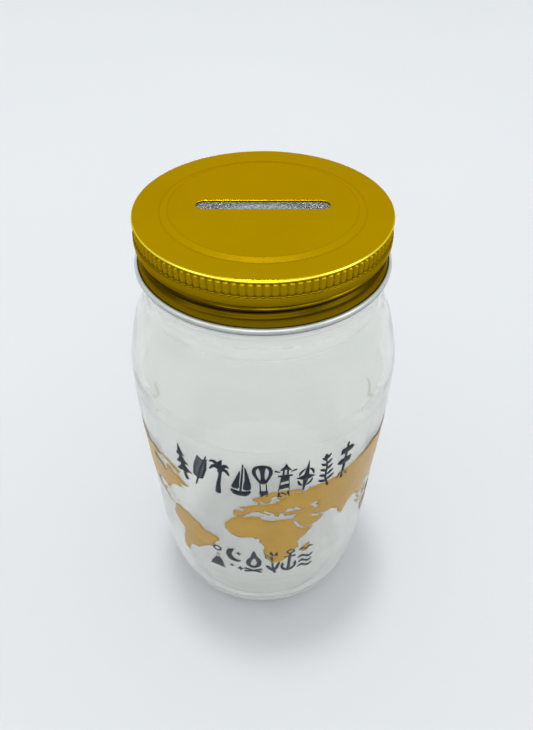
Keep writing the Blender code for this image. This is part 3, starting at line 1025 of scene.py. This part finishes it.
def print_piece(name, outlines, gaps, ink):
    """Flat ink of the outlines, less the gaps, as one thin closed skin bent round the jar."""
    shapes = [(reach_of(outline), outline) for outline in outlines]
    holes = [(reach_of(outline), outline) for outline in gaps]
    points = []
    edges = []
    for _, outline in shapes + holes:
        first = len(points)
        count = len(outline)
        points += outline
        edges += [(first + k, first + (k + 1) % count) for k in range(count)]
    for (low_x, high_x, low_y, high_y), outline in shapes:
        for column in range(int((high_x - low_x) / INK_STEP)):
            for row in range(int((high_y - low_y) / INK_STEP)):
                x = low_x + INK_STEP * (column + 0.5 + 0.25 * (row % 2))
                y = low_y + INK_STEP * (row + 0.5)
                if inside(x, y, outline):
                    points.append((x, y))
    flat, _, faces, *_ = delaunay_2d_cdt([Vector(p) for p in points], edges, [], 0, 1e-6)
    kept = []
    for face in faces:
        x = sum(flat[n][0] for n in face) / 3
        y = sum(flat[n][1] for n in face) / 3
        if inked(x, y, shapes, holes):
            kept.append(tuple(face))
    used = sorted({n for face in kept for n in face})
    numbers = {n: k for k, n in enumerate(used)}
    count = len(used)
    vertices = []
    for lift in (INK_LIFT, INK_LIFT + INK_THICK):
        for n in used:
            across = math.degrees(flat[n][0] / PRINT_RADIUS)
            vertices.append([c * MM for c in on_wrap(across, flat[n][1], lift)])
    skin = []
    sides = {}
    for face in kept:
        low = [numbers[n] for n in face]
        skin.append(tuple(n + count for n in low))
        skin.append(tuple(low[::-1]))
        for here, there in zip(low, low[1:] + low[:1]):
            if sides.pop((there, here), None) is None:
                sides[here, there] = True
    skin += [(here, there, there + count, here + count) for here, there in sides]
    mesh = bpy.data.meshes.new(name)
    mesh.from_pydata(vertices, [], skin)
    mesh.update()
    place(name, mesh, "jar", "clear_film", ink)


def make_map():
    draw = random.Random(MAP_SEED)
    outlines = [
        coast(on_map(outline, shift), draw)
        for outline, shift in (
            (EURASIA, 0.0),
            (AFRICA, 0.0),
            (MADAGASCAR, 0.0),
            (NORTH_AMERICA, AMERICAS_SHIFT),
            (SOUTH_AMERICA, AMERICAS_SHIFT),
            *((island, AMERICAS_SHIFT) for island in ARCTIC_ISLANDS),
            *((island, 0.0) for island in EASTERN_ISLANDS),
        )
    ]
    gold = ink_material("map_ink", (0.405, 0.222, 0.006), (0.455, 0.252, 0.010), 0.4, 0.55)
    print_piece("world_map_print", outlines, [coast(on_map(CASPIAN), draw)], gold)


def stroke(points, *widths):
    """A brush stroke: a smooth line through the points, with its width along it and round ends."""
    line = spline(list(points), 6)
    last = len(line) - 1
    sides = ([], [])
    for k, (x, y) in enumerate(line):
        before = line[max(k - 1, 0)]
        after = line[min(k + 1, last)]
        along = Vector((after[0] - before[0], after[1] - before[1])).normalized()
        at = k / last * (len(widths) - 1)
        low = min(int(at), max(len(widths) - 2, 0))
        high = min(low + 1, len(widths) - 1)
        half = (widths[low] + (widths[high] - widths[low]) * (at - low)) / 2
        sides[0].append((x - along.y * half, y + along.x * half))
        sides[1].append((x + along.y * half, y - along.x * half))
        if k in (0, last):
            turn = -1 if k == 0 else 1
            cap = []
            for step in (1, 2, 3):
                angle = math.pi * step / 4
                over = Vector((-along.y, along.x)) * math.cos(angle)
                out = along * math.sin(angle) * turn
                cap.append((x + (over.x + out.x) * half, y + (over.y + out.y) * half))
            if k == 0:
                start = cap
            else:
                end = cap
    return sides[0] + end + sides[1][::-1] + start[::-1]


def blob(points, steps=4):
    """A smooth closed outline through the points."""
    points = list(points)
    curve = spline(points[-1:] + points + points[:2], steps)
    return curve[steps : -steps - 1]


def disc(x, y, radius, high=None):
    """A round spot, or an oval one."""
    tall = radius if high is None else high
    return [
        (x + radius * math.cos(math.pi * k / 12), y + tall * math.sin(math.pi * k / 12))
        for k in range(24)
    ]


def pine():
    shapes = [stroke(((0.1, 0), (-0.1, 2), (0, 5)), 1.5, 1.1, 1.0)]
    for foot, top, half in ((2.8, 9.0, 3.0), (6.6, 12.6, 2.3), (10.4, 16.5, 1.6)):
        shapes.append(
            [
                (0, top),
                (0.45 * half, foot + 2.6),
                (half, foot + 0.4),
                (0.5 * half, foot + 0.7),
                (0.25 * half, foot),
                (-0.2 * half, foot + 0.6),
                (-0.55 * half, foot + 0.1),
                (-half, foot + 0.7),
                (-0.4 * half, foot + 2.7),
            ]
        )
    return shapes, []


def feather():
    quill = stroke(((-1.7, 0), (-0.7, 5), (0.2, 10), (1.9, 16.3)), 0.5, 0.7, 0.6, 0.4)
    shapes = [quill]
    for k in range(8):
        y = 4.2 + 1.35 * k
        x = -0.9 + 0.2 * k
        long = 2.4 - 0.16 * abs(k - 3)
        tip = (x - 0.8 * long, y + 0.95 * long)
        shapes.append(stroke(((x, y), (x - 0.55 * long, y + 0.4 * long), tip), 0.85, 0.95, 0.3))
        tip = (x + 0.95 * long, y + 0.75 * long)
        shapes.append(stroke(((x, y), (x + 0.6 * long, y + 0.2 * long), tip), 0.85, 0.95, 0.3))
    return shapes, []


def palm():
    shapes = [stroke(((-1.4, 0), (-0.9, 4), (-0.1, 8), (0.5, 11.2)), 1.9, 1.3, 1.0, 0.9)]
    for reach in (
        ((0.5, 11.2), (-1.2, 13.0), (-2.9, 11.0)),
        ((0.5, 11.2), (-1.0, 15.0), (-2.6, 14.6)),
        ((0.5, 11.2), (0.5, 14.5), (1.3, 16.3)),
        ((0.5, 11.2), (2.0, 13.8), (3.0, 13.0)),
        ((0.5, 11.2), (1.9, 11.6), (2.8, 9.3)),
    ):
        shapes.append(stroke(reach, 0.8, 1.5, 0.3))
    shapes.append(disc(0.1, 10.6, 0.7))
    return shapes, []


def sailboat():
    hull = blob(((-2.9, 3.3), (-2.1, 0.9), (0, 0.3), (2.2, 0.9), (3.0, 3.5), (0, 2.7)))
    mast = stroke(((0, 2.5), (0.1, 9), (0.1, 16.2)), 0.6, 0.6, 0.4)
    fore = blob(((-0.6, 4.1), (-2.7, 4.4), (-1.9, 8.2), (-0.6, 13.0), (-0.5, 8.0)))
    main_sail = blob(((0.7, 4.0), (2.9, 4.3), (2.5, 8.4), (0.7, 15.2), (0.9, 9.0)))
    return [hull, mast, fore, main_sail], []


def balloon():
    bag = blob(((0, 16.4), (2.3, 15.4), (2.9, 12.6), (1.9, 9.6), (0.8, 7.4), (-0.8, 7.4),
                (-1.9, 9.6), (-2.9, 12.6), (-2.3, 15.4)))
    slit = blob(((-1.1, 15.0), (-0.6, 12.4), (-0.7, 9.2), (-1.5, 11.0), (-1.8, 13.4)))
    gaps = [slit, [(-x, y) for x, y in slit[::-1]]]
    shapes = [
        bag,
        stroke(((-0.9, 7.0), (-0.9, 5.0), (-0.8, 3.2)), 0.35, 0.35),
        stroke(((0.9, 7.0), (0.9, 5.0), (0.8, 3.2)), 0.35, 0.35),
        [(-1.3, 3.5), (-1.0, 0.5), (1.0, 0.5), (1.3, 3.5)],
    ]
    return shapes, gaps


def lighthouse():
    gaps = [
        [(-1.45, 2.4), (1.45, 3.1), (1.35, 4.6), (-1.4, 3.9)],
        [(-1.25, 6.1), (1.25, 6.8), (1.15, 8.2), (-1.15, 7.5)],
    ]
    roof = ((-1.6, 13.4), (0, 13.7), (1.6, 13.4), (0.7, 14.9), (0, 16.4), (-0.7, 14.9))
    shapes = [
        [(-1.9, 0), (1.9, 0), (1.2, 10.4), (-1.2, 10.4)],
        stroke(((-1.8, 10.7), (0, 10.8), (1.8, 10.7)), 0.8, 0.8),
        [(-0.9, 11.2), (-0.35, 11.2), (-0.35, 13.6), (-0.9, 13.6)],
        [(0.35, 11.2), (0.9, 11.2), (0.9, 13.6), (0.35, 13.6)],
        blob(roof),
        stroke(((1.7, 12.7), (2.3, 12.9), (2.9, 13.2)), 0.4, 0.8),
        stroke(((-1.7, 12.7), (-2.3, 12.9), (-2.9, 13.2)), 0.4, 0.8),
    ]
    return shapes, gaps


def compass():
    """A long four-pointed rose, with an open band of a ring between its points."""
    rose = [(0, 16.5), (0.8, 9.4), (3.0, 8.2), (0.8, 7.0)]
    shapes = [rose + [(0, 0), (-0.8, 7.0), (-3.0, 8.2), (-0.8, 9.4)]]
    for start in (20, 110, 200, 290):
        arc = [math.radians(start + 12.5 * k) for k in range(5)]
        line = [(2.3 * math.cos(a), 8.2 + 4.2 * math.sin(a)) for a in arc]
        shapes.append(stroke(line, 0.5, 0.9, 0.5))
    return shapes, []


def sprig():
    shapes = [stroke(((0.6, 0), (-0.3, 5), (0.1, 10), (-0.2, 15)), 0.9, 0.7, 0.6, 0.4)]
    for k in range(5):
        y = 2.6 + 2.7 * k
        long = 2.7 - 0.28 * k
        for side in (-1, 1):
            shift = 0.7 if side > 0 else 0.0
            shapes.append(
                blob(
                    (
                        (0, y + shift),
                        (side * 0.55 * long, y + shift + 0.1),
                        (side * long, y + shift + 1.7),
                        (side * 0.35 * long, y + shift + 1.3),
                    )
                )
            )
    shapes.append(blob(((-0.2, 13.8), (0.6, 15.0), (-0.2, 16.5), (-0.9, 15.0))))
    return shapes, []


def signpost():
    shapes = [
        stroke(((0.1, 0), (0, 8), (0, 16.2)), 1.2, 1.0, 0.8),
        [(-2.2, 11.6), (1.7, 11.9), (2.9, 13.2), (1.7, 14.5), (-2.2, 14.2)],
        [(2.2, 7.0), (-1.6, 6.6), (-2.9, 8.0), (-1.6, 9.4), (2.2, 9.6)],
        stroke(((-1.8, 0.4), (-1.2, 1.7), (-1.0, 2.6)), 0.4, 0.7, 0.3),
        stroke(((2.0, 0.4), (1.4, 1.5), (1.1, 2.3)), 0.4, 0.7, 0.3),
    ]
    return shapes, []


def mountain():
    peak = [(-2.9, 0.5), (-1.6, 4.6), (-0.9, 5.6), (0.1, 10.2), (1.2, 6.4), (1.9, 5.4), (2.9, 0.6)]
    snow = [(-0.5, 7.2), (0.1, 9.6), (0.8, 7.4), (0.5, 6.6), (0.1, 7.4), (-0.2, 6.5)]
    return [peak, disc(0.1, 13.2, 1.7)], [snow, disc(0.1, 13.2, 0.95)]


def moon():
    bow = [(0.6, 14.8), (-1.6, 14.2), (-2.8, 11.0), (-1.9, 7.6), (0.7, 6.4), (2.4, 7.6)]
    bow += [(0.4, 8.4), (-0.7, 10.8), (0.0, 13.4)]
    shapes = [blob(bow)]
    for x, y, size in ((1.9, 12.2, 1.2), (-1.4, 3.4, 1.1), (1.6, 2.0, 1.5)):
        star = []
        for k in range(8):
            reach = size if k % 2 == 0 else 0.38 * size
            star.append(
                (x + reach * math.sin(math.pi * k / 4), y + 1.2 * reach * math.cos(math.pi * k / 4))
            )
        shapes.append(star)
    return shapes, []


def campfire():
    flame = blob(
        ((0, 15.2), (1.0, 12.0), (2.6, 8.8), (2.4, 5.2), (0, 3.4), (-2.4, 5.2), (-2.5, 8.4),
         (-1.3, 10.4), (-1.0, 12.4))
    )
    heart = blob(((0.1, 10.2), (1.1, 7.6), (0.8, 5.6), (0, 4.9), (-0.9, 5.8), (-0.9, 7.6)))
    logs = [
        stroke(((-2.8, 2.6), (0, 1.6), (2.8, 0.7)), 1.0, 1.1, 1.0),
        stroke(((-2.8, 0.6), (0, 1.5), (2.8, 2.7)), 1.0, 1.1, 1.0),
    ]
    return [flame, *logs], [heart]


def tulip():
    shapes = [stroke(((0.3, 0), (-0.1, 4.5), (0.1, 9.5)), 1.0, 0.8, 0.7)]
    shapes.append(blob(((0, 0.8), (1.7, 3.2), (2.7, 7.2), (1.2, 5.4))))
    shapes.append(blob(((0, 0.8), (-1.6, 2.6), (-2.6, 5.6), (-1.1, 4.6))))
    shapes.append(
        [(-2.3, 14.6), (-2.2, 10.8), (-1.1, 9.2), (1.1, 9.2), (2.2, 10.8), (2.3, 14.6), (1.1, 12.7),
         (0, 15.2), (-1.1, 12.7)]
    )
    return shapes, []


def anchor():
    shapes = [disc(0, 13.4, 1.6), stroke(((0, 12.0), (0, 6.5), (0, 1.2)), 1.0, 1.1, 1.1)]
    shapes.append(stroke(((-1.9, 10.0), (0, 10.3), (1.9, 10.0)), 0.8, 1.0, 0.8))
    shapes.append(
        stroke(((-2.6, 5.0), (-2.0, 2.3), (0, 0.9), (2.0, 2.3), (2.6, 5.0)), 0.6, 1.2, 1.4, 1.2, 0.6)
    )
    shapes.append([(-2.9, 4.4), (-1.4, 4.6), (-2.5, 6.5)])
    shapes.append([(2.9, 4.4), (1.4, 4.6), (2.5, 6.5)])
    return shapes, [disc(0, 13.4, 0.8)]


def waves():
    shapes = []
    for y, half in ((1.2, 2.7), (4.4, 2.4), (7.6, 2.7)):
        shapes.append(
            stroke(
                ((-half, y), (-0.5 * half, y + 0.9), (0, y), (0.5 * half, y - 0.8), (half, y + 0.3)),
                0.5, 1.3, 0.9, 1.3, 0.5,
            )
        )
    gull = ((-2.5, 12.6), (-1.2, 13.7), (0, 12.2), (1.2, 13.7), (2.5, 12.9))
    shapes.append(stroke(gull, 0.4, 1.1, 0.8, 1.1, 0.4))
    return shapes, []


UPPER_MOTIFS = (
    (pine, -35.5, 86.4, -6),
    (feather, -26.4, 86.0, 3),
    (palm, -17.6, 86.2, -3),
    (sailboat, -8.8, 86.0, 4),
    (balloon, 0.0, 86.0, -2),
    (lighthouse, 8.8, 86.0, 2),
    (compass, 17.6, 86.0, 5),
    (sprig, 26.8, 86.0, -3),
    (signpost, 36.0, 86.5, 4),
)
LOWER_MOTIFS = (
    (mountain, -23.5, 36.6, 2),
    (moon, -14.3, 37.4, -4),
    (campfire, -4.6, 37.6, 2),
    (tulip, 4.6, 37.6, -5),
    (anchor, 13.2, 37.6, 3),
    (waves, 21.6, 37.6, 0),
)


def make_motifs(name, row, ink):
    outlines = []
    gaps = []
    for draw, across, foot, tilt in row:
        shapes, holes = draw()
        lean = math.radians(tilt)
        middle = math.radians(across) * PRINT_RADIUS

        def turned(outline, middle=middle, foot=foot, lean=lean):
            return [
                (
                    middle + x * math.cos(lean) + (y - 8) * math.sin(lean),
                    foot + 8 - x * math.sin(lean) + (y - 8) * math.cos(lean),
                )
                for x, y in outline
            ]

        outlines += [turned(outline) for outline in shapes]
        gaps += [turned(outline) for outline in holes]
    print_piece(name, outlines, gaps, ink)


make_map()
make_motifs(
    "upper_motif_print",
    UPPER_MOTIFS,
    ink_material("navy_ink", (0.005, 0.010, 0.018), (0.010, 0.018, 0.030), 0.45, 0.05),
)
make_motifs(
    "lower_motif_print",
    LOWER_MOTIFS,
    ink_material("slate_ink", (0.028, 0.032, 0.045), (0.052, 0.058, 0.074), 0.45, 0.1),
)


make_jar()
make_lid()
make_seal()
make_film()


# ---------------------------------------------------------------- studio


# The lamps: name, place, size, power, and whether diffuse, glossy and transmitted rays see it
WORLD_STRENGTH = 1.0
LAMPS = (
    ("overhead_lamp", (-0.1, 0.2, 2.4), (0.35, 0.35), 18.0, (True, True, True)),
    ("glint_lamp", (0.0, -1.7, 1.55), (3.0, 1.3), 32.0, (False, True, False)),
    ("right_lamp", (1.9, -0.6, 1.3), (1.4, 1.8), 22.0, (False, True, False)),
    ("left_lamp", (-1.7, -0.9, 1.3), (1.2, 1.4), 9.0, (False, True, False)),
)
LAMP_AIM = (0, 0, 0.05)
SKY = (0.95, 0.98, 1.0, 1)
FLOOR_HALF = 12.0
FLOOR_DROP = -0.1  # a hair under the jar's foot, so that the two faces don't coincide

# The camera, fitted once to the photograph's viewing angle
CAMERA_PLACE = (0, -0.1603, 0.2486)
CAMERA_DOWN = 42.33
CAMERA_LENS = 31.27
CAMERA_SHIFT = 0.0048
SENSOR_WIDTH = 36


def make_studio():
    mesh = bpy.data.meshes.new("studio_floor")
    corners = [
        (x * FLOOR_HALF, y * FLOOR_HALF, FLOOR_DROP * MM)
        for x, y in ((-1, -1), (1, -1), (1, 1), (-1, 1))
    ]
    mesh.from_pydata(corners, [], [(0, 1, 2, 3)])
    floor = bpy.data.objects.new("studio_floor", mesh)
    bpy.context.scene.collection.objects.link(floor)
    paper, tree, shader = material("studio_paper", Roughness=0.9)
    cloud = textured(tree, 3, 2.0)
    colour = mixed(tree, ranged(tree, cloud, 0, 1), (0.625, 0.638, 0.652), (0.64, 0.65, 0.662))
    tree.links.new(colour, shader.inputs["Base Color"])
    mesh.materials.append(paper)
    world = bpy.data.worlds.new("studio")
    bpy.context.scene.world = world
    world.use_nodes = True
    sky = world.node_tree.nodes["Background"]
    sky.inputs["Color"].default_value = SKY
    sky.inputs["Strength"].default_value = WORLD_STRENGTH
    for name, where, size, power, shown in LAMPS:
        light = bpy.data.lights.new(name, "AREA")
        light.shape = "ELLIPSE"
        light.size, light.size_y = size
        light.energy = power
        lamp = bpy.data.objects.new(name, light)
        bpy.context.scene.collection.objects.link(lamp)
        lamp.location = where
        aim = Vector(LAMP_AIM) - Vector(where)
        lamp.rotation_euler = aim.to_track_quat("-Z", "Y").to_euler()
        lamp.visible_diffuse, lamp.visible_glossy, lamp.visible_transmission = shown
    view = bpy.context.scene.view_settings
    view.view_transform = "Standard"
    view.look = "None"


def make_camera():
    data = bpy.data.cameras.new("camera")
    data.sensor_width = SENSOR_WIDTH
    data.lens = CAMERA_LENS
    data.shift_x = CAMERA_SHIFT
    camera = bpy.data.objects.new("camera", data)
    bpy.context.scene.collection.objects.link(camera)
    camera.location = CAMERA_PLACE
    camera.rotation_euler = (math.radians(90 - CAMERA_DOWN), 0, 0)
    bpy.context.scene.camera = camera


make_studio()
make_camera()
